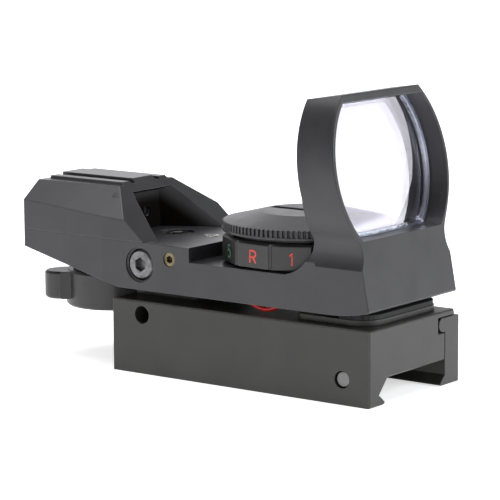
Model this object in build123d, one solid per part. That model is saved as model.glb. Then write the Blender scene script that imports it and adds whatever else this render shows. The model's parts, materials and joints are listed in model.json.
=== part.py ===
from build123d import *
import math
import os

# Reflex (red dot) sight with a rail clamp. Millimetres, +Z up.
# The objective frame faces -Y, the emitter hood is at +Y and the clamp screws are at +X.
# Shapes are drawn with Y measured from the front face of the base, then every part is
# moved back by half the overall length, so that the origin is the middle of the footprint.

# Driving dimensions
LENGTH = 82.0            # front face of the base to the rear face of the hood
HEIGHT = 55.0            # underside of the jaws to the top of the lens frame
FRAME_R = 18.35          # outer radius of the round lens frame
FRAME_Z = 41.4           # height of the centre of the lens frame
BODY_HALF = 14.5         # half the width of the housing
BASE_HALF = 14.75        # half the width of the base with its clamp plate
BASE_LENGTH = 59.0
BASE_TOP = 13.9
RAIL_WIDTH = 21.2        # width across the points of the rail that the jaws take
SEAT_Z = 4.75            # height of the face that rests on the rail
BODY_BOTTOM = 15.95
DECK_Z = 25.0            # top of the deck, and the joint with the hood
WALL_TOP = 22.3          # floor of the dial pocket and top of the side walls there
STEP_Y = 40.6            # front edge of the deck
REAR_Y = LENGTH
LEAN = 0.189             # how far the lens frame leans back per unit of height
FRONT_Y = 0.4            # bottom front edge of the housing
FRONT_Z = 17.0
RUN = 0.05               # running clearance between parts that turn or slide
EDGE = 0.25              # broken edges

# Axes
YAW_Y = 14.0             # vertical pivot of the windage adjustment
TILT_Y = 6.0             # cross pin of the elevation adjustment
TILT_Z = 17.8
DIAL_Y = 24.4            # axis of the dial, the cell and the cap
DRUM_Y = 70.6            # axis of the reticle drum
EMITTER_Z = 28.4         # height of the emitter and of the reticle in use
SCREW_Y = 52.4           # windage screw
SCREW_Z = 20.75
LOCK_Y = 45.3            # windage lock screw
LOCK_Z = 22.4
ELEV_Y = 54.8            # elevation screw
ELEV_LOCK_Y = 46.5       # elevation lock screw
PIN_Y = 51.75            # cross pin through the foot of the windage yoke
PIN_Z = 11.3
PIN_R = 1.65
PEG_X = (-4.7, 4.7)      # pegs of the windage yoke
PEG_R = 2.2
CLAMP_Y = (6.0, 46.0)    # the two clamp screws, four slots of a rail apart
CLAMP_Z = 4.6
LEAD_X = 11.4            # the leads run along both sides of the underside
LEAD_R = 0.45
LEAD_UP_Y = 64.6         # hole through which the leads rise into the hood


# Helpers
def box(x0, x1, y0, y1, z0, z1):
    centre = Pos((x0 + x1) / 2, (y0 + y1) / 2, (z0 + z1) / 2)
    return centre * Box(x1 - x0, y1 - y0, z1 - z0)


def cyl_x(radius, x0, x1, y, z):
    rod = Cylinder(radius, x1 - x0, align=(Align.CENTER, Align.CENTER, Align.MIN))
    return Pos(x0, y, z) * Rot(0, 90, 0) * rod


def cyl_y(radius, y0, y1, x, z):
    rod = Cylinder(radius, y1 - y0, align=(Align.CENTER, Align.CENTER, Align.MIN))
    return Pos(x, y0, z) * Rot(-90, 0, 0) * rod


def cyl_z(radius, z0, z1, x, y):
    rod = Cylinder(radius, z1 - z0, align=(Align.CENTER, Align.CENTER, Align.MIN))
    return Pos(x, y, z0) * rod


def cone_z(radius0, radius1, z0, z1, x, y):
    frustum = Cone(radius0, radius1, z1 - z0, align=(Align.CENTER, Align.CENTER, Align.MIN))
    return Pos(x, y, z0) * frustum


def tube_z(outer, inner, z0, z1, x, y):
    return cyl_z(outer, z0, z1, x, y) - cyl_z(inner, z0 - 1, z1 + 1, x, y)


def prism_x(outline, x0, x1):
    """Extrudes an outline of (y, z) points or a sketch from x0 to x1."""
    sketch = outline if isinstance(outline, Sketch) else make_face(Polyline(*outline, close=True))
    face = Plane((x0, 0, 0), x_dir=(0, 1, 0), z_dir=(1, 0, 0)) * sketch
    return extrude(face, amount=x1 - x0, dir=(1, 0, 0))


def prism_y(outline, y0, y1):
    """Extrudes an outline of (x, z) points or a sketch from y0 to y1."""
    sketch = outline if isinstance(outline, Sketch) else make_face(Polyline(*outline, close=True))
    face = Plane((0, y0, 0), x_dir=(1, 0, 0), z_dir=(0, -1, 0)) * sketch
    return extrude(face, amount=y1 - y0, dir=(0, 1, 0))


def face_from(lines):
    """Sketch bounded by a closed chain of lines and arcs."""
    return make_face([edge for line in lines for edge in line.edges()])


def prism_z(points, z0, z1):
    return extrude(Pos(0, 0, z0) * make_face(Polyline(*points, close=True)), amount=z1 - z0)


def keep_below(part, point, normal):
    """Keeps the side of the part that the normal points away from."""
    return split(part, bisect_by=Plane(point, z_dir=normal), keep=Keep.BOTTOM)


def facing(part, axis, place):
    """Edges round the outside of the faces at a place along an axis."""
    faces = part.faces().filter_by(lambda f: abs(f.normal_at().dot(axis.direction)) > 0.99)
    chosen = [f for f in faces if abs(f.center().dot(axis.direction) - place) < 0.01]
    return ShapeList([edge for face in chosen for edge in face.outer_wire().edges()])


def soften(part, edges, size):
    """Chamfers the long ones of these edges."""
    return chamfer([edge for edge in edges if edge.length > 1.2], size)


def around(radius, angle, x=0.0, y=0.0):
    """Point at a radius and an angle in degrees about (x, y)."""
    turn = math.radians(angle)
    return x + radius * math.cos(turn), y + radius * math.sin(turn)


def front_face(z):
    """Y of the leaning front face at height z."""
    return FRONT_Y + LEAN * (z - FRONT_Z)


def round_window(radius, bottom, top):
    """Round outline cut flat at its bottom and top, in the (x, z) plane."""
    band = Pos(0, (bottom + top) / 2) * Rectangle(4 * radius, top - bottom)
    return Pos(0, FRAME_Z) * Circle(radius) & band


def slotted(screw, x, y, z, axis, width, depth, length):
    """Cuts a screwdriver slot into the end of a screw at (x, y, z)."""
    if axis == "z":
        return screw - Pos(x, y, z) * Rot(0, 0, 35) * Box(length, width, 2 * depth)
    return screw - Pos(x, y, z) * Rot(35, 0, 0) * Box(2 * depth, length, width)


def socketed(screw, place, radius, depth):
    """Cuts a hexagon socket into a screw, along the z axis of a place on its end."""
    return screw - place * extrude(RegularPolygon(radius, 6), depth)


# Base and rail clamp
TONGUE_BOTTOM = 10.1
TONGUE_TOP = 12.65
V_DEPTH_X = -11.5        # bottom of the fixed V groove
V_DEPTH_Z = 1.95
PLATE_X = V_DEPTH_X + RAIL_WIDTH + 0.25    # inner face of the clamp plate, closed on the rail
SCREW_R = 1.95           # clamp screws
TIP_R = 1.55             # end of the front one, which shows on the other side
TIP_X = -12.6
HEAD_X = 14.8
SEAT_FRONT_X = -8.9


def base_block():
    outline = [
        (-BASE_HALF, 0.0), (-10.4, 0.0), (-9.9, 0.4), (-10.2, 0.95), (V_DEPTH_X, V_DEPTH_Z),
        (SEAT_FRONT_X, SEAT_Z), (PLATE_X - RUN, SEAT_Z), (PLATE_X - RUN, TONGUE_BOTTOM - 0.1),
        (7.7, TONGUE_BOTTOM - 0.1), (7.7, TONGUE_TOP + 0.1), (13.3, TONGUE_TOP + 0.1),
        (12.95, BASE_TOP), (-BASE_HALF, BASE_TOP),
    ]
    block = prism_y(outline, 0, BASE_LENGTH)
    ends = facing(block, Axis.Y, 0) + facing(block, Axis.Y, BASE_LENGTH)
    top = block.edges().filter_by(Axis.Y).sort_by(lambda edge: edge.center().Z - edge.center().X)
    block = soften(block, ends + top[-1:], EDGE)
    for y in CLAMP_Y:
        block -= cyl_x(SCREW_R + RUN, TIP_X - 0.2, 11, y, CLAMP_Z)
    block -= cyl_x(TIP_R + RUN, -BASE_HALF - 1, TIP_X, CLAMP_Y[0], CLAMP_Z)
    block -= cyl_z(1.55, 6.6, BASE_TOP + 1, 0, YAW_Y)
    for x in PEG_X:
        block -= cyl_z(PEG_R + RUN, 9.2, BASE_TOP + 1, x, PIN_Y)
    return block - cyl_x(PIN_R + RUN, -BASE_HALF - 1, 7.1, PIN_Y, PIN_Z)


def clamp_plate():
    outline = [
        (BASE_HALF, 0.1), (BASE_HALF, 12.2), (14.3, TONGUE_TOP), (8.7, TONGUE_TOP),
        (8.0, 12.1), (7.85, 11.2), (8.3, 10.4), (9.1, TONGUE_BOTTOM), (PLATE_X, TONGUE_BOTTOM),
        (PLATE_X, V_DEPTH_Z), (8.25, 0.25), (8.6, 0.1),
    ]
    plate = prism_y(outline, 0, BASE_LENGTH)
    ends = facing(plate, Axis.Y, 0) + facing(plate, Axis.Y, BASE_LENGTH)
    plate = soften(plate, ends.filter_by(lambda edge: edge.center().X > 14), EDGE)
    for y in CLAMP_Y:
        plate -= cyl_x(SCREW_R + RUN, 7, 16, y, CLAMP_Z)
    return plate


def clamp_screw(index):
    """Cheese-headed cross screw. The front one nearly reaches the outer face of the jaw."""
    y = CLAMP_Y[index]
    screw = cyl_x(SCREW_R, TIP_X, HEAD_X, y, CLAMP_Z)
    if index == 0:
        tip = cyl_x(TIP_R, -BASE_HALF + 0.45, TIP_X, y, CLAMP_Z)
        screw += chamfer(tip.edges().filter_by(GeomType.CIRCLE).sort_by(Axis.X)[0], 0.25)
    head = cyl_x(3.6, HEAD_X, 17.3, y, CLAMP_Z)
    head = chamfer(head.edges().filter_by(GeomType.CIRCLE).sort_by(Axis.X)[-1], 0.3)
    screw += head
    return slotted(screw, 17.3, y, CLAMP_Z, "x", 1.1, 1.2, 9.0)


def pivot_screw():
    """Shoulder screw on which the swivel plate turns."""
    screw = cyl_z(1.5, 7.0, BASE_TOP, 0, YAW_Y)
    screw += cyl_z(2.0, BASE_TOP, 15.0, 0, YAW_Y)
    screw += cyl_z(3.4, 15.0, 16.6, 0, YAW_Y)
    return slotted(screw, 0, YAW_Y, 16.6, "z", 0.9, 0.8, 9.0)


# Windage yoke: a block on the base that reaches up into the housing
YOKE_HALF = 8.0
YOKE_FRONT, YOKE_REAR = 43.6, 58.9
YOKE_TOP = 22.7


def windage_yoke():
    """Block with two pegs that sit in the base, held by a cross pin."""
    yoke = box(-YOKE_HALF, YOKE_HALF, YOKE_FRONT, YOKE_REAR, BASE_TOP, YOKE_TOP)
    yoke = chamfer(yoke.edges().filter_by(Axis.Z), 0.6)
    for x in PEG_X:
        yoke += cyl_z(PEG_R, 9.4, BASE_TOP, x, PIN_Y)
    yoke -= cyl_z(3.75, BASE_TOP, YOKE_TOP + 1, 0, ELEV_Y)
    return yoke - cyl_x(PIN_R + RUN, -9, 9, PIN_Y, PIN_Z)


def yoke_pin():
    return cyl_x(PIN_R, -8.0, 7.0, PIN_Y, PIN_Z)


# Swivel plate between the base and the housing
PLATE_Z0, PLATE_Z1 = 13.95, 14.95
LUG_IN, LUG_OUT = 8.7, 10.3


def swivel_plate():
    plate = box(-12.1, 12.1, 1.8, 18.4, PLATE_Z0, PLATE_Z1)
    upright = plate.edges().filter_by(Axis.Z).sort_by(Axis.Y)
    plate = fillet(upright[:2], 4.5)
    plate = fillet(plate.edges().filter_by(Axis.Z).sort_by(Axis.Y)[-2:], 2.0)
    for side in (-1, 1):
        x0, x1 = sorted((side * LUG_IN, side * LUG_OUT))
        plate += box(x0, x1, TILT_Y - 1.8, TILT_Y + 1.8, PLATE_Z0, TILT_Z)
        plate += cyl_x(1.8, x0, x1, TILT_Y, TILT_Z)
    plate -= cyl_x(1.04, -12, 12, TILT_Y, TILT_Z)
    return plate - cyl_z(2.03, 13, 16, 0, YAW_Y)


def rubber_pad():
    """Ribbed rubber pad that presses the front of the housing up."""
    pad = box(-11.9, 11.9, 2.0, 8.6, 15.0, 15.85)
    pad = fillet(pad.edges().filter_by(Axis.Z).sort_by(Axis.Y)[:2], 4.3)
    for side in (-1, 1):
        x0, x1 = sorted((side * 8.4, side * 10.6))
        pad -= box(x0, x1, 3.9, 9.0, 14, 17)
    return pad


def tilt_pin():
    return cyl_x(1.0, -11.6, 14.3, TILT_Y, TILT_Z)


# Housing with the lens frame
WINDOW_R = 17.5
WINDOW_BOTTOM, WINDOW_TOP = 29.4, 53.6
POCKET_R = 15.75         # dial pocket
BOARD_R = 13.85
WELL_R = 12.0
WELL_FLOOR = 18.4
BOARD_BOTTOM = 21.3
UNDERSIDE_Y = 57.7       # where the underside begins to rise
UNDERSIDE_END = 21.55
TAPER_Y = 61.5           # behind this the sides draw in
REAR_HALF = 13.7
LENS_LEDGE = 6.5         # depth of the ledge behind the lens
BOSS_Z = 16.75           # bearing face of the drum
DRUM_TUBE_R = 5.6


def side_profile():
    """Side view of the housing with the lens frame, as (y, z)."""
    wall_start = (19.6, WALL_TOP)
    lines = [
        ThreePointArc((9.5, BODY_BOTTOM), (4.6, 16.24), (FRONT_Y, FRONT_Z)),
        Polyline((FRONT_Y, FRONT_Z), (front_face(HEIGHT), HEIGHT), (14.47, HEIGHT - 1.0),
                 (12.5, 37.0), (12.7, 30.4)),
        ThreePointArc((12.7, 30.4), (14.0, 25.2), wall_start),
        Polyline(wall_start, (STEP_Y, WALL_TOP), (STEP_Y, DECK_Z), (REAR_Y, DECK_Z),
                 (REAR_Y, UNDERSIDE_END), (UNDERSIDE_Y, BODY_BOTTOM), (9.5, BODY_BOTTOM)),
    ]
    return face_from(lines)


def front_outline():
    """Front view of the lens frame on its foot, as (x, z)."""
    foot_top, neck_top = 24.4, 30.3
    neck_half = math.sqrt(FRAME_R**2 - (FRAME_Z - neck_top)**2)
    lines = [
        Polyline((-BODY_HALF, foot_top), (-BODY_HALF, 15.0), (BODY_HALF, 15.0),
                 (BODY_HALF, foot_top)),
        ThreePointArc((BODY_HALF, foot_top), (13.6, 27.2), (neck_half, neck_top)),
        Line((neck_half, neck_top), (-neck_half, neck_top)),
        ThreePointArc((-neck_half, neck_top), (-13.6, 27.2), (-BODY_HALF, foot_top)),
    ]
    return face_from(lines) + round_window(FRAME_R, neck_top, HEIGHT)


def taper_sides(part):
    for side in (-1, 1):
        normal = (side * (REAR_Y - TAPER_Y), BODY_HALF - REAR_HALF, 0)
        part = keep_below(part, (side * BODY_HALF, TAPER_Y, 0), normal)
    return part


def leads_channel(side):
    """Channel along the underside, and the hole up into the hood."""
    x0, x1 = sorted((side * (LEAD_X - 1.0), side * (LEAD_X + 1.0)))
    outline = [(25.2, 15.0), (26.2, 17.2), (57.0, 17.2), (60.6, 18.7), (LEAD_UP_Y - 0.9, 20.8),
               (LEAD_UP_Y + 1.1, 20.8), (LEAD_UP_Y + 1.1, 15.0)]
    channel = prism_x(outline, x0, x1)
    channel += cyl_z(1.1, 17.0, DECK_Z + 1, side * LEAD_X, LEAD_UP_Y)
    x0, x1 = sorted((side * 8.6, side * 11.9))
    return channel + box(x0, x1, 16.4, 24.6, 15.0, WELL_FLOOR + 0.5)


def lens_opening():
    """The window through the frame, with a ledge behind the lens."""
    front = prism_y(round_window(WINDOW_R, WINDOW_BOTTOM, WINDOW_TOP), -5, 20)
    ledge = [(-9, 0), (front_face(0) + LENS_LEDGE, 0), (front_face(60) + LENS_LEDGE, 60), (-9, 60)]
    front &= prism_x(ledge, -25, 25)
    return front + prism_y(round_window(WINDOW_R - 0.9, WINDOW_BOTTOM + 0.8, WINDOW_TOP - 0.8), -5, 20)


def main_body():
    profile = prism_x(side_profile(), -25, 25)
    frame = profile & prism_y(front_outline(), -2, 20)
    leaning = frame.faces().sort_by(Axis.Y)[0]
    frame = chamfer(leaning.outer_wire().edges(), EDGE)
    lower = profile & box(-BODY_HALF, BODY_HALF, 12, 90, 10, DECK_Z)
    body = taper_sides(lower) + frame
    boss = cyl_z(8.2, BOSS_Z, 22, 0, DRUM_Y)
    body += boss
    body -= lens_opening()
    # Dial pocket, switch board seat and contact well
    body -= cyl_z(POCKET_R, WALL_TOP, 29.35, 0, DIAL_Y)
    body -= cyl_z(15.95, 28.2, 40, 0, DIAL_Y)
    body -= cyl_z(BOARD_R, BOARD_BOTTOM, WALL_TOP + 1, 0, DIAL_Y)
    well = cyl_z(WELL_R, WELL_FLOOR, WALL_TOP + 1, 0, DIAL_Y)
    for x in (-6.5, 6.5):
        well -= cyl_z(1.9, WELL_FLOOR - 1, BOARD_BOTTOM, x, DIAL_Y)
        well += cyl_z(0.82, WELL_FLOOR, WALL_TOP, x, DIAL_Y)
    body -= well
    body -= cyl_z(0.65, 18.6, WALL_TOP + 1, 0, DIAL_Y + DETENT_R)
    # Tilt pin, lugs and pivot screw head
    body -= cyl_x(1.02, -11.7, 15, TILT_Y, TILT_Z)
    for side in (-1, 1):
        x0, x1 = sorted((side * 8.4, side * 10.6))
        body -= box(x0, x1, 3.6, 8.4, 15, 20.1)
        body -= leads_channel(side)
    body -= cyl_z(4.6, 15, 17.6, 0, YAW_Y)
    # Adjusting screws and the room for the yoke
    body -= box(-9.3, 9.3, 42.8, 59.8, 15, 23.5)
    body -= cyl_x(3.05, -16, -9, SCREW_Y, SCREW_Z)
    body -= cyl_x(3.35, -16, -BODY_HALF + 0.5, SCREW_Y, SCREW_Z)
    body -= cyl_x(2.5, 9, 12.3, SCREW_Y, SCREW_Z)
    body -= cyl_x(3.05, 12.2, 16, SCREW_Y, SCREW_Z)
    body -= cyl_x(1.35, -16, -9, LOCK_Y, LOCK_Z)
    body -= cyl_z(3.05, 23, 26, 0, ELEV_Y)
    body -= cyl_z(3.35, DECK_Z - 0.5, 26, 0, ELEV_Y)
    body -= cyl_z(1.55, 23, 26, 0, ELEV_LOCK_Y)
    # Drum bearing and its detent, hood screws
    body -= cyl_z(DRUM_TUBE_R + RUN, 15, 26, 0, DRUM_Y)
    body -= cyl_z(0.65, 16, 21.2, 0, DRUM_Y - DRUM_DETENT_R)
    for x, y in HOOD_SCREWS:
        body -= cyl_z(0.85, 15, 26, x, y)
        body -= cyl_z(1.5, 15, 22.6, x, y)
    return body


# Lens, held by a bead of clear adhesive
LENS_SPHERE = 108.0      # concave towards the emitter, whose distance is half of this
LENS_T = 1.9
LENS_DEPTH = 3.0         # depth of the middle of its front face
BEAD_T = 0.45


def lens_shell(inner, thickness, outline):
    """Part of a spherical shell whose centre lies behind the lens, along its leaning axis."""
    tilt = math.atan(LEAN)
    reach = LENS_SPHERE + LENS_T
    apex_y = front_face(FRAME_Z) + LENS_DEPTH
    centre = Pos(0, apex_y + reach * math.cos(tilt), FRAME_Z - reach * math.sin(tilt))
    shell = centre * Sphere(inner + thickness) - centre * Sphere(inner)
    return prism_y(outline, -5, 20) & shell


def lens():
    outline = round_window(WINDOW_R - 0.05, WINDOW_BOTTOM + 0.05, WINDOW_TOP - 0.05)
    return lens_shell(LENS_SPHERE, LENS_T, outline)


def lens_bead():
    outer = round_window(WINDOW_R - 0.05, WINDOW_BOTTOM + 0.05, WINDOW_TOP - 0.05)
    inner = round_window(WINDOW_R - 0.75, WINDOW_BOTTOM + 0.75, WINDOW_TOP - 0.75)
    return lens_shell(LENS_SPHERE + LENS_T + 0.02, BEAD_T, outer - inner)


# Switch, cell, dial and cap
DETENT_R = 14.0          # radius of the dial's detent groove
DIAL_SIDES = 12
DIAL_CORNER_R = 15.5
DIAL_BOTTOM, DIAL_TOP = 22.9, 27.6
HOLDER_R = 12.6
FIRST_MARK = 176.0       # direction of the middle of the first panel
WIPER_TURN = -4.0        # direction of the contact wiper
CAP_BOTTOM, CAP_TOP = 28.4, 31.8
KNURL_TEETH = 100


def switch_board():
    board = cyl_z(BOARD_R - 0.1, BOARD_BOTTOM, WALL_TOP - 0.02, 0, DIAL_Y)
    for x in (-6.5, 6.5):
        board -= cyl_z(0.85, 21, 23, x, DIAL_Y)
    board -= cyl_z(0.8, 21, 23, 0, DIAL_Y + DETENT_R)
    return board - cyl_z(2.5, 21, 23, 0, DIAL_Y)


def battery_holder():
    """Plastic well for the cell. Its top flange keeps the dial down."""
    holder = cyl_z(HOLDER_R, WALL_TOP, 28.1, 0, DIAL_Y)
    holder += cyl_z(13.4, DIAL_TOP + RUN, 28.1, 0, DIAL_Y)
    holder -= cyl_z(10.2, 23.3, 29, 0, DIAL_Y)
    holder -= cyl_z(11.03, 26.6, 29, 0, DIAL_Y)
    holder -= tube_z(12.25, 11.45, 27.65, 29, 0, DIAL_Y)
    for x in (-6.5, 6.5):
        holder -= cyl_z(0.85, 22, 24, x, DIAL_Y)
        holder -= cyl_z(1.5, 22.7, 24, x, DIAL_Y)
    return holder - cyl_z(1.5, 22, 24, 0, DIAL_Y)


def holder_screws():
    """Two screws that hold the battery holder and the switch board down."""
    screws = Part()
    for x in (-6.5, 6.5):
        screw = cyl_z(0.8, WELL_FLOOR + 0.1, 22.7, x, DIAL_Y)
        screw += cyl_z(1.45, 22.7, 23.25, x, DIAL_Y)
        screws += slotted(screw, x, DIAL_Y, 23.25, "z", 0.4, 0.3, 4.0)
    return screws


def contact_spring():
    """Sprung contact under the cell: a shallow domed disc on a rivet."""
    spring = cone_z(5.0, 2.4, 23.32, 24.28, 0, DIAL_Y)
    spring -= cone_z(4.7, 2.1, 23.2, 24.08, 0, DIAL_Y)
    return spring + cyl_z(1.45, 22.32, 24.2, 0, DIAL_Y)


def coin_cell():
    """Coin cell, 20 mm across and 3.2 mm thick."""
    cell = cyl_z(10.0, 24.9, 27.5, 0, DIAL_Y)
    cell += cyl_z(9.0, 24.3, 24.9, 0, DIAL_Y)
    return chamfer(cell.edges().filter_by(GeomType.CIRCLE).sort_by(Axis.Z)[-1], 0.3)


def brightness_dial():
    """Twelve-sided dial: two off positions and five steps in each colour."""
    step = 360 / DIAL_SIDES
    corners = []
    for side in range(DIAL_SIDES):
        corners.append(around(DIAL_CORNER_R, FIRST_MARK + (side + 0.5) * step, 0, DIAL_Y))
    dial = prism_z(corners, DIAL_BOTTOM, DIAL_TOP)
    top = dial.faces().sort_by(Axis.Z)[-1]
    dial = chamfer(top.edges(), 0.45)
    for x, y in corners:
        dial -= cyl_z(0.42, DIAL_BOTTOM - 1, DIAL_TOP + 1, x, y)
    dial -= cyl_z(HOLDER_R + RUN, DIAL_BOTTOM - 1, DIAL_TOP + 1, 0, DIAL_Y)
    dial -= tube_z(DETENT_R + 0.62, DETENT_R - 0.62, DIAL_BOTTOM - 1, 23.2, 0, DIAL_Y)
    for side in range(DIAL_SIDES):
        x, y = around(DETENT_R, 90 + side * step, 0, DIAL_Y)
        dial -= Pos(x, y, 23.0) * Sphere(0.5)
    return dial


def contact_wiper():
    """Three sprung fingers under the dial that sweep the tracks of the board."""
    wiper = Part()
    for turn in (-12, 0, 12):
        x, y = around(13.05, WIPER_TURN + turn, 0, DIAL_Y)
        finger = Pos(x, y, 22.62) * Rot(0, 0, WIPER_TURN + turn) * Box(0.6, 1.6, 0.5)
        wiper += finger
    ring = tube_z(13.32, 12.78, 22.7, 22.88, 0, DIAL_Y)
    x, y = around(13.0, WIPER_TURN, 0, DIAL_Y)
    return wiper + (ring & Pos(x, y, 22.8) * Rot(0, 0, WIPER_TURN) * Box(4, 8.5, 2))


def detent_ball(x, y, z):
    return Pos(x, y, z) * Sphere(0.6)


def cap_o_ring():
    return Pos(0, DIAL_Y, 28.0) * Torus(11.85, 0.33)


def battery_cap():
    """Knurled screw cap with a coin slot."""
    cap = cyl_z(15.5, CAP_BOTTOM, 28.8, 0, DIAL_Y)
    outline = []
    for tooth in range(KNURL_TEETH):
        pitch = 360 / KNURL_TEETH
        for share, radius in ((0.0, 15.4), (0.45, 15.4), (0.55, 14.9), (0.9, 14.9)):
            outline.append(around(radius, (tooth + share) * pitch, 0, DIAL_Y))
    cap += prism_z(outline, 28.8, 30.1)
    cap += cone_z(15.2, 8.3, 30.1, CAP_TOP, 0, DIAL_Y)
    cap += tube_z(10.98, 10.3, 26.7, CAP_BOTTOM, 0, DIAL_Y)
    cap -= tube_z(12.3, 11.4, CAP_BOTTOM - 1, CAP_BOTTOM + 0.05, 0, DIAL_Y)
    return cap - box(-1.0, 1.0, DIAL_Y - 7.5, DIAL_Y + 7.5, CAP_TOP - 1.2, CAP_TOP + 1)


# Emitter hood
HOOD_TOP = 34.15
HOOD_SLOPE = 1.19        # the mouth slopes back this much per unit of height
MOUTH_Y = 51.5
WALL_Y0, WALL_Y1 = 62.2, 63.4
CREASE = ((-BODY_HALF, 57.0, 28.95), (-13.72, REAR_Y, 30.7))
ROOF_EDGE = (-7.7, 57.0, HOOD_TOP)
HOOD_SCREWS = ((-7.5, 62.0), (7.5, 62.0), (-8.5, 80.2), (8.5, 80.2))
RIBS = ((-6.6, -4.4, 34.7), (-3.0, 3.0, 35.05), (4.4, 6.6, 34.7))    # x0, x1, top
MOUTH_FRONT = ((10.3, 25.0), (6.1, 32.9))    # half widths and heights on the sloping face
MOUTH_REAR = ((4.1, 25.0), (3.5, 32.3))      # and on the wall behind


def lean_plane(side, inset):
    """Point and outward normal of the leaning upper side, moved inwards by inset."""
    front, rear, roof = (Vector(-side * p[0], p[1], p[2]) for p in (*CREASE, ROOF_EDGE))
    normal = (rear - front).cross(roof - front).normalized()
    if normal.Z < 0:
        normal = -normal
    return front - normal * inset, normal


def hood_mouth():
    """Funnel from the sloping front face to the wall with the emitter window."""
    front, rear = [], []
    for (half, z), (rear_half, rear_z) in zip(MOUTH_FRONT, MOUTH_REAR):
        outer = Vector(half, MOUTH_Y + HOOD_SLOPE * (z - DECK_Z), z)
        inner = Vector(rear_half, WALL_Y0, rear_z)
        front.append(outer + (outer - inner) * 0.1)
        rear.append(inner)
    ends = []
    for low, high in (front, rear):
        corners = [low, high, Vector(-high.X, high.Y, high.Z), Vector(-low.X, low.Y, low.Z)]
        ends.append(make_face(Polyline(*corners, close=True)))
    return loft(ends, ruled=True)


def emitter_hood():
    hood = taper_sides(box(-BODY_HALF, BODY_HALF, MOUTH_Y, REAR_Y, DECK_Z, HOOD_TOP))
    chamber = box(-12.3, 12.3, WALL_Y1, REAR_Y - 2.8, DECK_Z - 1, HOOD_TOP - 1.45)
    for side in (-1, 1):
        hood = keep_below(hood, *lean_plane(side, 0.0))
        chamber = keep_below(chamber, *lean_plane(side, 1.8))
    for x0, x1, top in RIBS:
        hood += box(x0, x1, MOUTH_Y, REAR_Y - 0.8, HOOD_TOP - 0.5, top)
    hood = keep_below(hood, (0, MOUTH_Y, DECK_Z), (0, -1, HOOD_SLOPE))
    hood -= hood_mouth()
    hood -= chamber
    hood -= cyl_y(1.0, WALL_Y0 - 1, WALL_Y1 + 1, 0, EMITTER_Z)
    hood -= cyl_y(1.8, WALL_Y1 - 0.7, WALL_Y1 + 1, 0, EMITTER_Z)
    hood -= box(-4.3, 4.3, 66.4, 74.8, HOOD_TOP - 2, HOOD_TOP - 0.7)
    for x, y in HOOD_SCREWS:
        hood -= cyl_z(0.82, DECK_Z - 1, 30.2, x, y)
    return hood


def emitter_window():
    return cyl_y(1.75, WALL_Y1 - 0.68, WALL_Y1 - 0.12, 0, EMITTER_Z)


def hood_screws():
    screws = Part()
    for x, y in HOOD_SCREWS:
        screw = cyl_z(0.8, 22.6, 29.8, x, y)
        screw += cyl_z(1.4, 21.7, 22.6, x, y)
        screws += slotted(screw, x, y, 21.7, "z", 0.5, 0.4, 4.0)
    return screws


def led_holder():
    """Block that hangs from the roof of the hood and holds the emitter inside the drum."""
    holder = box(-4.2, 4.2, 66.5, 74.7, 31.2, HOOD_TOP - 0.75)
    holder += cyl_z(4.2, 26.0, 31.2, 0, DRUM_Y)
    return holder - cyl_y(1.55, DRUM_Y - 5, DRUM_Y + 2.6, 0, EMITTER_Z)


def led():
    """Two-colour emitter, 3 mm, pointing forwards."""
    lamp = cyl_y(1.5, DRUM_Y - 2.4, DRUM_Y + 2.5, 0, EMITTER_Z)
    return lamp + Pos(0, DRUM_Y - 2.4, EMITTER_Z) * Sphere(1.5)


# Reticle drum with its barrel and lever
DRUM_R = 9.6
DRUM_BOTTOM, DRUM_TOP = 9.5, 16.6
DRUM_DETENT_R = 7.0
LEVER_TURN = 135.0       # direction in which the lever points at the first position
LEVER_REACH = 13.8
POSITIONS = 4
POSITION_STEP = 30.0
TUBE_TOP = 31.0


def drum_window_angles():
    return [-90.0 + index * POSITION_STEP for index in range(POSITIONS)]


def reticle_drum():
    drum = cyl_z(DRUM_R, DRUM_BOTTOM, DRUM_TOP, 0, DRUM_Y)
    drum = chamfer(drum.edges().filter_by(GeomType.CIRCLE), 0.4)
    lever = box(0, LEVER_REACH - 2.6, -3.3, 3.3, 11.0, 16.4)
    lever += cyl_z(3.3, 11.0, 16.4, LEVER_REACH - 3.3, 0) & box(0, LEVER_REACH, -4, 4, 11, 16.4)
    lever = chamfer(lever.edges().filter_by(Plane.XY).filter_by(lambda e: e.center().X > 8), 0.4)
    drum += Pos(0, DRUM_Y, 0) * Rot(0, 0, LEVER_TURN) * lever
    drum += cyl_z(DRUM_TUBE_R, DRUM_TOP - 1, TUBE_TOP, 0, DRUM_Y)
    drum -= cyl_z(4.6, 17.2, TUBE_TOP + 1, 0, DRUM_Y)
    drum -= cyl_z(1.6, DRUM_BOTTOM - 1, 18, 0, DRUM_Y)
    drum -= tube_z(DRUM_DETENT_R + 0.62, DRUM_DETENT_R - 0.62, 16.2, DRUM_TOP + 1, 0, DRUM_Y)
    drum -= tube_z(8, 5.05, 25.1, 25.9, 0, DRUM_Y)
    for turn in drum_window_angles():
        x, y = around(5.1, turn, 0, DRUM_Y)
        place = Pos(x, y, EMITTER_Z) * Rot(0, 0, turn)
        drum -= place * Box(2.0, 1.5, 3.2)
        drum -= place * Box(0.5, 2.1, 3.8)
    return drum


def reticle_masks():
    """Four thin plates, each pierced with one aiming mark."""
    masks = Part()
    for turn in drum_window_angles():
        x, y = around(5.1, turn, 0, DRUM_Y)
        mask = Box(0.3, 2.0, 3.7)
        mask -= Rot(0, 90, 0) * Cylinder(0.15, 2)
        masks += Pos(x, y, EMITTER_Z) * Rot(0, 0, turn) * mask
    return masks


def drum_clip():
    """Open ring in the groove of the drum, which keeps it in its bearing."""
    clip = tube_z(6.9, 5.1, 25.15, 25.8, 0, DRUM_Y)
    return clip - box(-1.6, 1.6, DRUM_Y + 3, DRUM_Y + 9, 24, 27)


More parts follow.
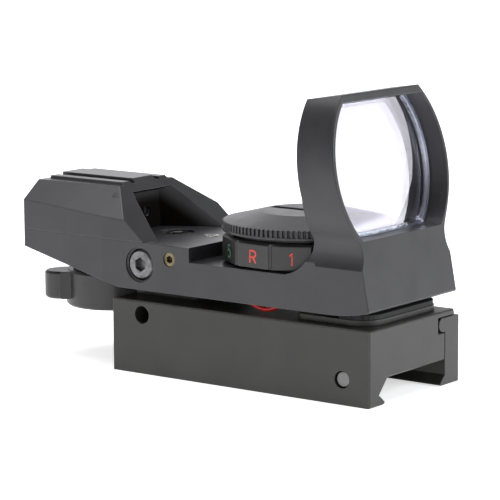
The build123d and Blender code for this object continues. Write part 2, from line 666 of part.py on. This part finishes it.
# Adjusting screws. Each has a small pad at its tip that doesn't turn.
def windage_pad():
    return cyl_x(1.2, -8.65, -8.05, SCREW_Y, SCREW_Z)


def windage_screw():
    screw = cyl_x(3.0, -14.25, -9.9, SCREW_Y, SCREW_Z)
    screw = chamfer(screw.edges().filter_by(GeomType.CIRCLE).sort_by(Axis.X)[0], 0.5)
    screw += cyl_x(1.5, -9.9, -8.7, SCREW_Y, SCREW_Z)
    return socketed(screw, Pos(-14.25, SCREW_Y, SCREW_Z) * Rot(0, 90, 0), 1.4, 1.2)


def windage_spring():
    """Coil spring between its plug and the yoke."""
    coil = Helix(pitch=1.3, height=3.5, radius=1.9)
    wire = sweep(Plane(coil @ 0, z_dir=coil % 0) * Circle(0.28), path=coil)
    return Pos(8.4, SCREW_Y, SCREW_Z) * Rot(0, 90, 0) * wire


def spring_plug():
    plug = cyl_x(3.0, 12.3, 14.3, SCREW_Y, SCREW_Z)
    plug = chamfer(plug.edges().filter_by(GeomType.CIRCLE).sort_by(Axis.X)[-1], 0.5)
    return socketed(plug, Pos(14.3, SCREW_Y, SCREW_Z) * Rot(0, -90, 0), 1.4, 1.2)


def windage_lock_pellet():
    return cyl_x(0.8, -9.0, -8.5, LOCK_Y, LOCK_Z)


def windage_lock_screw():
    screw = cyl_x(1.3, -14.3, -9.05, LOCK_Y, LOCK_Z)
    return socketed(screw, Pos(-14.3, LOCK_Y, LOCK_Z) * Rot(0, 90, 0), 0.75, 1.2)


def elevation_pad():
    return cyl_z(2.2, BASE_TOP + 0.05, 14.7, 0, ELEV_Y)


def elevation_screw():
    screw = cyl_z(3.0, 22.0, 24.8, 0, ELEV_Y)
    screw = chamfer(screw.edges().filter_by(GeomType.CIRCLE).sort_by(Axis.Z)[-1], 0.5)
    screw += cyl_z(2.2, 14.75, 22.0, 0, ELEV_Y)
    return socketed(screw, Pos(0, ELEV_Y, 24.8) * Rot(180, 0, 0), 1.4, 1.2)


def elevation_lock_pellet():
    return cyl_z(1.1, 23.3, 23.7, 0, ELEV_LOCK_Y)


def elevation_lock_screw():
    screw = cyl_z(1.5, 23.75, 25.1, 0, ELEV_LOCK_Y)
    return socketed(screw, Pos(0, ELEV_LOCK_Y, 25.1) * Rot(180, 0, 0), 0.85, 0.9)


def coil_sleeve(radius, z0, z1, x, y):
    """Small coil spring, drawn as its envelope."""
    return tube_z(radius, radius - 0.25, z0, z1, x, y)


# Leads from the switch board to the emitter
def lead_path(side):
    """Down from the board, past the gap, along the underside and up into the hood."""
    x = side * LEAD_X
    return [
        (side * 9.3, 20.0, BOARD_BOTTOM), (side * 9.35, 20.05, 18.7), (side * 10.8, 22.0, 15.6),
        (x, 25.4, 14.4), (x, 30.9, 16.6), (x, 44.0, 16.65), (x, 57.0, 16.6),
        (x, 61.5, 17.7), (x, LEAD_UP_Y, 20.0), (x, LEAD_UP_Y + 0.05, 25.9),
        (side * 9.8, 66.9, 29.9), (side * 6.9, 69.4, 31.7), (side * 4.4, DRUM_Y, 32.0),
    ]


def corner_radii(points):
    """Radius for each corner: as large as its two runs allow."""
    radii = []
    for before, at, after in zip(points, points[1:], points[2:]):
        run_in = Vector(*at) - Vector(*before)
        run_out = Vector(*after) - Vector(*at)
        half_turn = math.radians(run_in.get_angle(run_out)) / 2
        radii.append(0.45 * min(run_in.length, run_out.length) / math.tan(half_turn))
    return radii


def lead(side):
    points = lead_path(side)
    radii = corner_radii(points)
    path = FilletPolyline(*points, radius=radii)
    start = Plane(points[0], z_dir=path % 0)
    tube = sweep(start * Circle(LEAD_R), path=path)
    share = tube.volume / (math.pi * LEAD_R**2 * path.length)
    print("lead", side, "length", round(path.length, 1), "volume share", round(share, 3),
          "smallest radius", round(min(radii), 2))
    return tube


PARTS = {
    "base_block": base_block,
    "clamp_plate": clamp_plate,
    "clamp_screw_front": lambda: clamp_screw(0),
    "clamp_screw_rear": lambda: clamp_screw(1),
    "pivot_screw": pivot_screw,
    "windage_yoke": windage_yoke,
    "yoke_pin": yoke_pin,
    "swivel_plate": swivel_plate,
    "rubber_pad": rubber_pad,
    "tilt_pin": tilt_pin,
    "main_body": main_body,
    "lens": lens,
    "lens_bead": lens_bead,
    "switch_board": switch_board,
    "battery_holder": battery_holder,
    "holder_screws": holder_screws,
    "contact_spring": contact_spring,
    "coin_cell": coin_cell,
    "brightness_dial": brightness_dial,
    "contact_wiper": contact_wiper,
    "dial_detent_ball": lambda: detent_ball(0, DIAL_Y + DETENT_R, 22.55),
    "dial_detent_spring": lambda: coil_sleeve(0.6, 18.7, 21.9, 0, DIAL_Y + DETENT_R),
    "cap_o_ring": cap_o_ring,
    "battery_cap": battery_cap,
    "emitter_hood": emitter_hood,
    "emitter_window": emitter_window,
    "hood_screws": hood_screws,
    "led_holder": led_holder,
    "led": led,
    "reticle_drum": reticle_drum,
    "reticle_masks": reticle_masks,
    "drum_clip": drum_clip,
    "drum_detent_ball": lambda: detent_ball(0, DRUM_Y - DRUM_DETENT_R, 16.85),
    "drum_detent_spring": lambda: coil_sleeve(0.6, 17.5, 21.1, 0, DRUM_Y - DRUM_DETENT_R),
    "windage_pad": windage_pad,
    "windage_screw": windage_screw,
    "windage_spring": windage_spring,
    "spring_plug": spring_plug,
    "windage_lock_pellet": windage_lock_pellet,
    "windage_lock_screw": windage_lock_screw,
    "elevation_pad": elevation_pad,
    "elevation_screw": elevation_screw,
    "elevation_lock_pellet": elevation_lock_pellet,
    "elevation_lock_screw": elevation_lock_screw,
    "red_lead": lambda: lead(-1),
    "black_lead": lambda: lead(1),
}

os.makedirs("parts", exist_ok=True)
for name, make in PARTS.items():
    print(name)
    export_step(Pos(0, -LENGTH / 2, 0) * make(), f"parts/{name}.step")
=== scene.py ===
import json
import math

import bmesh
import bpy
from mathutils import Matrix, Vector


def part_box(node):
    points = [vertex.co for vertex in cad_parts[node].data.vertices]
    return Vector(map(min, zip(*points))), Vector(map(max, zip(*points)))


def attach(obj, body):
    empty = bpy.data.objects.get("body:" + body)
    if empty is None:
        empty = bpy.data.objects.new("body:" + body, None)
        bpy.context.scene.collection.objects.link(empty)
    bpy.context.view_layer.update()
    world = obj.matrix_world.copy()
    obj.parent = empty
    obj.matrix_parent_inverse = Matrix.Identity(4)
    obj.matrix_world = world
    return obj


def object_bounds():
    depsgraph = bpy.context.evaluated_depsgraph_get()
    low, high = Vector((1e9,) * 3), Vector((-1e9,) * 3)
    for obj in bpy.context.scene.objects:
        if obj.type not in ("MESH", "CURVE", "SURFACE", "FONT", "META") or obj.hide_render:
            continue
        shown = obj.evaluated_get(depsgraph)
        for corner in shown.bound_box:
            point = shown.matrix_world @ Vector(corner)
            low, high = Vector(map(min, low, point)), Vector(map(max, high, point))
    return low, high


# A reflex (red dot) sight on a rail clamp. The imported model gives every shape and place;
# this script adds the finishes, the marks on the dial, the light and the camera.

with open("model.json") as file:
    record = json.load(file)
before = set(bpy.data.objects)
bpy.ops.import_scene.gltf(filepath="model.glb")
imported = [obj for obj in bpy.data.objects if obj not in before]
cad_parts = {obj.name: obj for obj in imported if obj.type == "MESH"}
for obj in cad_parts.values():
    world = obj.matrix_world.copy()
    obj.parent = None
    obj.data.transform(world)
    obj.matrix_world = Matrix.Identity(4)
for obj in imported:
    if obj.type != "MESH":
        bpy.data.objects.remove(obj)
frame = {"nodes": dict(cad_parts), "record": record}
cad_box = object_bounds()
NODES = frame["nodes"]
MM = 0.001

# The mouth of the emitter hood, from the hood's lowest front corner, and the painted shade
# inside it
MOUTH_COS, MOUTH_SIN = 0.643, 0.766      # of the slope of its front face
MOUTH_HALF = 10.4 * MM
MOUTH_HEIGHT = 8.1 * MM
MOUTH_REACH = 10.9 * MM
# The dull black inside the mouth is painted shade. It sets in with depth behind the front face,
# where the inside of the hood lies in shade.
MOUTH_SHADE_EDGE = 0.1 * MM                    # width over which the dull black ends
MOUTH_SHADE_FADE = (0.2 * MM, 3.0 * MM)        # depths between which it sets in
MOUTH_PAINTED_SHADE = (0.012, 0.010, 0.009)
MOUTH_SHADE_ROUGHNESS = 0.85

# Marks on the dial: an off position and five steps in each colour
DIAL_MARKS = "R12345G12345"
RED_MARKS = 6
FIRST_MARK = 176.0                       # direction of the first mark, in degrees
PANEL_TURN = 30.0
DIAL_CORNER_R = 15.5
PANEL_DISTANCE = DIAL_CORNER_R * math.cos(math.radians(PANEL_TURN / 2)) * MM
PANEL_HEIGHT = 2.0 * MM                  # middle of a mark above the bottom of the dial
MARK_SCALE = 1.40 * MM                   # width of a figure between the middles of its strokes
STROKE_R = 0.21 * MM
STROKE_FLATNESS = 0.12
ARC_STEP = 15                            # degrees

# Floor, surroundings and light
FLOOR_HALF = 4.0
FLOOR_GAP = 0.02 * MM
FLOOR_GLOW = 0.58
SKY_HEIGHTS = (0.10, 0.60)               # heights on the unit sphere between which the sky fades
SKY_STRENGTHS = (0.98, 0.30)             # at the horizon and overhead
LIGHTS = {
    # place, target, size, power and colour
    "overhead": ((0.05, 0.1, 0.9), (0, 0, 0), (0.9, 0.9), 8.0, (0.99, 0.98, 1.0)),
    "front": ((0.35, -0.8, 0.45), (0, 0, 0.03), (0.5, 0.5), 5.0, (0.93, 0.96, 1.0)),
    "left": ((-0.9, 0.1, 0.25), (0, 0, 0.03), (0.5, 0.4), 0.6, (1.0, 0.98, 0.93)),
    "behind": ((0.75, 0.7, 0.42), (0, 0, 0.03), (0.5, 0.4), 0.6, (0.93, 0.92, 1.0)),
}

# Camera
CAMERA_TURNS = (-53.07, 9.26, -0.29)     # azimuth, elevation and roll, in degrees
CAMERA_PLACE = (-0.3660, -0.2788, 0.0977)
CAMERA_LENS = 177.08                     # millimetres, as the sensor's width is
CAMERA_SENSOR = 36.0
CAMERA_CLIP = (0.01, 50.0)


# Materials
FINISHES = {}


class Finish:
    """A Principled material with short names for building its nodes."""

    def __init__(self, name, roughness, metallic=0.0):
        self.material = bpy.data.materials.new(name)
        self.material.use_nodes = True
        self.tree = self.material.node_tree
        self.tree.nodes.clear()
        output = self.tree.nodes.new("ShaderNodeOutputMaterial")
        self.shader = self.tree.nodes.new("ShaderNodeBsdfPrincipled")
        self.tree.links.new(self.shader.outputs["BSDF"], output.inputs["Surface"])
        self.set("Roughness", roughness)
        self.set("Metallic", metallic)
        self.place = self.tree.nodes.new("ShaderNodeTexCoord").outputs["Object"]
        FINISHES[name] = self.material

    def feed(self, socket, value):
        """Links a socket to another, or gives it a value."""
        if isinstance(value, bpy.types.NodeSocket):
            self.tree.links.new(value, socket)
        elif socket.type == "RGBA" and len(value) == 3:
            socket.default_value = (*value, 1.0)
        else:
            socket.default_value = value

    def set(self, name, value):
        self.feed(self.shader.inputs[name], value)

    def node(self, kind, inputs=None, **settings):
        made = self.tree.nodes.new(kind)
        for key, value in settings.items():
            setattr(made, key, value)
        for key, value in (inputs or {}).items():
            self.feed(made.inputs[key], value)
        return made

    def noise(self, size, detail=3.0, roughness=0.55):
        """Noise whose features are about size across, in metres."""
        inputs = {"Vector": self.place, "Scale": 1 / size, "Detail": detail,
                  "Roughness": roughness}
        return self.node("ShaderNodeTexNoise", inputs).outputs["Fac"]

    def spread(self, value, low, high, out_low=0.0, out_high=1.0):
        """Maps the range from low to high of a value to out_low to out_high."""
        inputs = {"Value": value, "From Min": low, "From Max": high, "To Min": out_low,
                  "To Max": out_high}
        return self.node("ShaderNodeMapRange", inputs).outputs["Result"]

    def math(self, operation, *values):
        inputs = dict(enumerate(values))
        return self.node("ShaderNodeMath", inputs, operation=operation).outputs["Value"]

    def times(self, a, b):
        return self.math("MULTIPLY", a, b)

    def mix(self, share, first, second):
        """Colour from first to second as share goes from 0 to 1."""
        inputs = {0: share, 6: first, 7: second}
        return self.node("ShaderNodeMix", inputs, data_type="RGBA").outputs[2]

    def rounded(self, radius):
        """The normal of the surface with its edges rounded to the radius."""
        return self.node("ShaderNodeBevel", {"Radius": radius}, samples=6).outputs["Normal"]

    def edges(self, rounded):
        """0 on flat stretches, up to 1 on outer and inner edges, from a rounded normal."""
        plain = self.node("ShaderNodeNewGeometry")
        inputs = {0: rounded, 1: plain.outputs["Normal"]}
        dot = self.node("ShaderNodeVectorMath", inputs, operation="DOT_PRODUCT")
        return self.spread(dot.outputs["Value"], 1.0, 0.82)

    def bump(self, height, distance, normal=None):
        inputs = {"Height": height, "Distance": distance, "Strength": 1.0}
        if normal is not None:
            inputs["Normal"] = normal
        return self.node("ShaderNodeBump", inputs).outputs["Normal"]


def grey(level):
    return level, level, level


def coated(name, dark, light, worn_and_highlit, roughness, grain, relief, edge=0.25 * MM, wear_and_highlight=0.5,
           metallic=0.0, shade_mask=None):
    """Dark coating or steel: two shades in blotches, a fine grain, and edges made brighter by
    rubbed wear and a painted highlight.

    Where the share from the shade mask is 1, the colour is painted shade: a dull black that
    hardly reflects.
    """
    finish = Finish(name, roughness, metallic)
    blotch = finish.spread(finish.noise(6 * MM, 4.0), 0.35, 0.65)
    speck = finish.noise(grain, 2.0)
    colour = finish.mix(blotch, dark, light)
    colour = finish.mix(finish.spread(speck, 0.66, 0.8, 0.0, 0.12), colour, worn_and_highlit)
    patchy = finish.spread(finish.noise(1.4 * MM), 0.35, 0.65, 0.3, 1.0)
    rounded = finish.rounded(edge)
    # Brighter edges: partly rubbed wear and partly a painted highlight along outer and inner
    # edges.
    rubbed_and_highlit = finish.times(finish.times(finish.edges(rounded), patchy), wear_and_highlight)
    colour = finish.mix(rubbed_and_highlit, colour, worn_and_highlit)
    # Painted shade: where the mask is 1, a dull black metal colour stands in for the shade
    # inside the hood's mouth.
    if shade_mask:
        share = shade_mask(finish)
        colour = finish.mix(share, colour, MOUTH_PAINTED_SHADE)
        rough = finish.spread(share, 0.0, 1.0, roughness, MOUTH_SHADE_ROUGHNESS)
        finish.set("Metallic", share)
    else:
        rough = finish.spread(finish.noise(3 * MM), 0.3, 0.7, roughness - 0.03,
                              roughness + 0.04)
    finish.set("Base Color", colour)
    finish.set("Roughness", rough)
    finish.set("Normal", finish.bump(speck, relief, rounded))


def hood_mouth_shade(finish):
    """Painted shade mask: 1 inside the mouth of the emitter hood, fading out towards its sloping
    front face.
    """
    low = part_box("emitter_hood")[0]
    axes = finish.node("ShaderNodeSeparateXYZ", {"Vector": finish.place}).outputs
    across = finish.math("ABSOLUTE", axes["X"])
    back = finish.math("SUBTRACT", axes["Y"], low.y)
    up = finish.math("SUBTRACT", axes["Z"], low.z)
    depth = finish.math("SUBTRACT", finish.times(back, MOUTH_COS), finish.times(up, MOUTH_SIN))
    share = finish.spread(depth, *MOUTH_SHADE_FADE)
    for value, limit in ((across, MOUTH_HALF), (up, MOUTH_HEIGHT), (back, MOUTH_REACH)):
        share = finish.times(share, finish.spread(value, limit + MOUTH_SHADE_EDGE, limit))
    return share


def metal(name, colour, tint, roughness):
    """Bare metal with fine machining marks and slight staining."""
    finish = Finish(name, roughness, 1.0)
    stain = finish.spread(finish.noise(1.2 * MM, 4.0), 0.35, 0.7)
    finish.set("Base Color", finish.mix(stain, colour, tint))
    marks = finish.noise(0.08 * MM, 3.0, 0.6)
    finish.set("Roughness", finish.spread(marks, 0.3, 0.7, roughness - 0.08, roughness + 0.1))
    finish.set("Normal", finish.bump(marks, 0.002 * MM, finish.rounded(0.1 * MM)))


def plastic(name, colour, tint, roughness, coat=0.0):
    """Moulded plastic, paint or insulation with a fine grain."""
    finish = Finish(name, roughness)
    blotch = finish.spread(finish.noise(2 * MM), 0.35, 0.65)
    finish.set("Base Color", finish.mix(blotch, colour, tint))
    marks = finish.noise(0.15 * MM)
    finish.set("Roughness", finish.spread(marks, 0.3, 0.7, roughness - 0.06, roughness + 0.06))
    finish.set("Normal", finish.bump(marks, 0.004 * MM, finish.rounded(0.12 * MM)))
    finish.set("Coat Weight", coat)


def glass(name, colour, tint, roughness=0.0, mirror=0.0, waves=0.0):
    """Clear material with a faint variation in tint.

    Mirror is the share that its coating reflects, and waves the height of its ripples.
    """
    finish = Finish(name, roughness, mirror)
    finish.set("Transmission Weight", 1.0)
    finish.set("IOR", 1.5)
    blotch = finish.spread(finish.noise(9 * MM), 0.3, 0.7)
    finish.set("Base Color", finish.mix(blotch, colour, tint))
    if waves:
        finish.set("Normal", finish.bump(finish.noise(1.6 * MM, 2.0), waves))


def rubber(name):
    """Black rubber with faint bands and a gritty surface."""
    finish = Finish(name, 0.75)
    inputs = {"Vector": finish.place, "Scale": 420.0, "Distortion": 1.2, "Detail": 2.0}
    bands = finish.node("ShaderNodeTexWave", inputs, bands_direction="X").outputs["Fac"]
    finish.set("Base Color", finish.mix(bands, grey(0.006), grey(0.022)))
    grit = finish.noise(0.25 * MM, 4.0)
    finish.set("Roughness", finish.spread(grit, 0.3, 0.7, 0.65, 0.9))
    finish.set("Normal", finish.bump(grit, 0.05 * MM))


# The housing and the hood stay above a roughness of about 0.28, under which their broad
# faces show specks in a denoised picture.
coated("housing_black", (0.016, 0.016, 0.018), (0.023, 0.023, 0.026), (0.13, 0.13, 0.135),
       0.32, 0.10 * MM, 0.003 * MM)
# The hood's material also paints shade inside its mouth.
coated("hood_black_painted_mouth_shade", (0.015, 0.015, 0.017), (0.021, 0.021, 0.024), (0.13, 0.13, 0.135),
       0.31, 0.10 * MM, 0.003 * MM, shade_mask=hood_mouth_shade)
coated("cap_black", (0.013, 0.013, 0.015), (0.018, 0.018, 0.021), (0.14, 0.14, 0.145),
       0.38, 0.10 * MM, 0.005 * MM)
for name in ("base_black", "clamp_black"):
    coated(name, (0.0125, 0.0125, 0.0110), (0.018, 0.018, 0.016), (0.13, 0.13, 0.125),
           0.40, 0.12 * MM, 0.007 * MM, wear_and_highlight=0.7)
coated("drum_black", grey(0.020), grey(0.028), grey(0.07), 0.38, 0.14 * MM, 0.006 * MM)
coated("dial_black", grey(0.010), (0.016, 0.016, 0.015), (0.06, 0.06, 0.055),
       0.34, 0.10 * MM, 0.006 * MM)
coated("steel_dark", grey(0.10), grey(0.16), (0.55, 0.54, 0.5), 0.3, 0.08 * MM, 0.004 * MM,
       edge=0.18 * MM, wear_and_highlight=1.0, metallic=1.0)
metal("steel_bright", (0.62, 0.61, 0.59), (0.48, 0.46, 0.43), 0.25)
metal("brass", (0.24, 0.20, 0.12), (0.09, 0.075, 0.045), 0.38)
metal("zinc", (0.22, 0.22, 0.23), grey(0.09), 0.38)
metal("cell_steel", (0.66, 0.65, 0.62), (0.55, 0.54, 0.5), 0.28)
rubber("rubber")
glass("lens_glass", (0.935, 0.92, 1.0), (0.915, 0.90, 0.99), mirror=0.4)
glass("adhesive", (0.84, 0.88, 0.95), (0.72, 0.77, 0.86), 0.08, mirror=0.35, waves=0.12 * MM)
plastic("circuit_board", (0.004, 0.010, 0.006), (0.006, 0.016, 0.009), 0.45)
plastic("plastic_black", grey(0.012), grey(0.02), 0.45)
glass("led_lens", (0.95, 0.9, 0.88), (0.9, 0.85, 0.82), 0.05)
plastic("lead_red", (0.55, 0.012, 0.012), (0.42, 0.01, 0.01), 0.35, coat=0.3)
plastic("lead_black", grey(0.012), grey(0.02), 0.35, coat=0.3)
plastic("red_mark", (0.62, 0.06, 0.045), (0.5, 0.045, 0.035), 0.5)
plastic("green_mark", (0.035, 0.17, 0.08), (0.025, 0.12, 0.06), 0.5)


def dress(piece, finish):
    piece.data.materials.clear()
    piece.data.materials.append(FINISHES[finish])


for entry in frame["record"]["subparts"]:
    dress(NODES[entry["node"]], entry["material_slot"])
# The hood gets the material with the painted shade in its mouth.
dress(NODES["emitter_hood"], "hood_black_painted_mouth_shade")
dress(NODES["swivel_plate"], "clamp_black")
dress(NODES["battery_cap"], "cap_black")
for screw in ("windage_screw", "spring_plug"):
    dress(NODES[screw], "zinc")


# Marks on the dial
def arc(centre, radii, start, end):
    """Points along part of an ellipse, from one angle in degrees to another."""
    count = max(3, round(abs(end - start) / ARC_STEP))
    angles = [math.radians(start + (end - start) * step / count) for step in range(count + 1)]
    return [(centre[0] + radii[0] * math.cos(angle), centre[1] + radii[1] * math.sin(angle))
            for angle in angles]


# Strokes of each figure, in a space 1 wide and 1.6 high about its middle
FIGURES = {
    "R": [[(-0.5, -0.8), (-0.5, 0.8), (-0.05, 0.8)] + arc((0.02, 0.38), (0.46, 0.42), 90, -90)
          + [(-0.5, -0.04)], [(0.0, -0.04), (0.5, -0.8)]],
    "G": [arc((0.0, 0.0), (0.5, 0.8), 45, 330) + [(0.46, -0.08), (0.08, -0.08)]],
    "1": [[(-0.3, 0.42), (0.06, 0.8), (0.06, -0.8)]],
    "2": [arc((0.0, 0.36), (0.46, 0.44), 165, -30) + [(-0.46, -0.8), (0.5, -0.8)]],
    "3": [arc((0.0, 0.4), (0.42, 0.4), 150, -80) + arc((0.0, -0.38), (0.48, 0.42), 80, -150)],
    "4": [[(0.22, -0.8), (0.22, 0.8), (-0.5, -0.32), (0.5, -0.32)]],
    "5": [[(0.42, 0.8), (-0.36, 0.8), (-0.42, 0.06)]
          + arc((0.0, -0.28), (0.48, 0.52), 130, -145)],
}
dial_low, dial_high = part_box("brightness_dial")
dial_axis = (dial_low + dial_high) / 2


def dial_mark(index, figure):
    """A figure painted on the middle of one panel of the dial."""
    line = bpy.data.curves.new(f"mark_line_{index}", "CURVE")
    line.dimensions = "3D"
    line.bevel_depth = STROKE_R
    line.bevel_resolution = 3
    line.use_fill_caps = True
    for stroke in FIGURES[figure]:
        spline = line.splines.new("POLY")
        spline.points.add(len(stroke) - 1)
        for point, (x, y) in zip(spline.points, stroke):
            point.co = (x * MARK_SCALE, y * MARK_SCALE, 0, 1)
    holder = bpy.data.objects.new(f"mark_line_{index}", line)
    mesh = bpy.data.meshes.new_from_object(holder)
    bpy.data.objects.remove(holder)
    turn = math.radians(FIRST_MARK + PANEL_TURN * index)
    outward = Vector((math.cos(turn), math.sin(turn), 0))
    up = Vector((0, 0, 1))
    place = Matrix((up.cross(outward), up, outward)).transposed().to_4x4()
    place.translation = (dial_axis.x, dial_axis.y, dial_low.z + PANEL_HEIGHT)
    place.translation += outward * PANEL_DISTANCE
    mesh.transform(place @ Matrix.Diagonal((1, 1, STROKE_FLATNESS, 1)))
    mark = bpy.data.objects.new(f"dial_mark_{index}", mesh)
    bpy.context.scene.collection.objects.link(mark)
    dress(mark, "red_mark" if index < RED_MARKS else "green_mark")
    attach(mark, "dial")


for index, figure in enumerate(DIAL_MARKS):
    dial_mark(index, figure)


# Floor, light and camera
def add_floor():
    mesh = bpy.data.meshes.new("floor")
    shape = bmesh.new()
    bmesh.ops.create_grid(shape, x_segments=8, y_segments=8, size=FLOOR_HALF)
    shape.to_mesh(mesh)
    shape.free()
    floor = bpy.data.objects.new("floor", mesh)
    floor.location.z = cad_box[0][2] - FLOOR_GAP
    bpy.context.scene.collection.objects.link(floor)
    finish = Finish("floor_card", 0.7)
    tone = finish.spread(finish.noise(0.2), 0.3, 0.7)
    finish.set("Base Color", finish.mix(tone, grey(0.90), grey(0.93)))
    finish.set("Emission Color", grey(1.0))
    finish.set("Emission Strength", FLOOR_GLOW)
    mesh.materials.append(finish.material)


def add_area(name, place, target, size, power, colour):
    light = bpy.data.lights.new(name, "AREA")
    light.shape = "RECTANGLE"
    light.size, light.size_y = size
    light.energy = power
    light.color = colour
    lamp = bpy.data.objects.new(name, light)
    lamp.location = place
    lamp.rotation_euler = (Vector(target) - Vector(place)).to_track_quat("-Z", "Y").to_euler()
    bpy.context.scene.collection.objects.link(lamp)


def add_world():
    """White surroundings, brighter at the horizon than overhead."""
    world = bpy.data.worlds.new("studio")
    bpy.context.scene.world = world
    world.use_nodes = True
    tree = world.node_tree
    back = tree.nodes["Background"]
    back.inputs["Color"].default_value = (1.0, 1.0, 1.0, 1.0)
    place = tree.nodes.new("ShaderNodeTexCoord")
    axes = tree.nodes.new("ShaderNodeSeparateXYZ")
    fade = tree.nodes.new("ShaderNodeMapRange")
    for name, value in zip(("From Min", "From Max", "To Min", "To Max"),
                           SKY_HEIGHTS + SKY_STRENGTHS):
        fade.inputs[name].default_value = value
    tree.links.new(place.outputs["Generated"], axes.inputs["Vector"])
    tree.links.new(axes.outputs["Z"], fade.inputs["Value"])
    tree.links.new(fade.outputs["Result"], back.inputs["Strength"])


def add_camera():
    azimuth, elevation, roll = (math.radians(turn) for turn in CAMERA_TURNS)
    back = Vector((math.sin(azimuth) * math.cos(elevation),
                   -math.cos(azimuth) * math.cos(elevation), math.sin(elevation)))
    right = Vector((math.cos(azimuth), math.sin(azimuth), 0))
    up = back.cross(right)
    rolled_right = math.cos(roll) * right + math.sin(roll) * up
    rolled_up = math.cos(roll) * up - math.sin(roll) * right
    camera = bpy.data.objects.new("camera", bpy.data.cameras.new("camera"))
    camera.data.lens = CAMERA_LENS
    camera.data.sensor_width = CAMERA_SENSOR
    camera.data.clip_start, camera.data.clip_end = CAMERA_CLIP
    placed = Matrix((rolled_right, rolled_up, back)).transposed().to_4x4()
    placed.translation = CAMERA_PLACE
    camera.matrix_world = placed
    bpy.context.scene.collection.objects.link(camera)
    bpy.context.scene.camera = camera


add_floor()
add_world()
for name, settings in LIGHTS.items():
    add_area(name, *settings)
add_camera()
view = bpy.context.scene.view_settings
view.view_transform = "Standard"
view.look = "None"
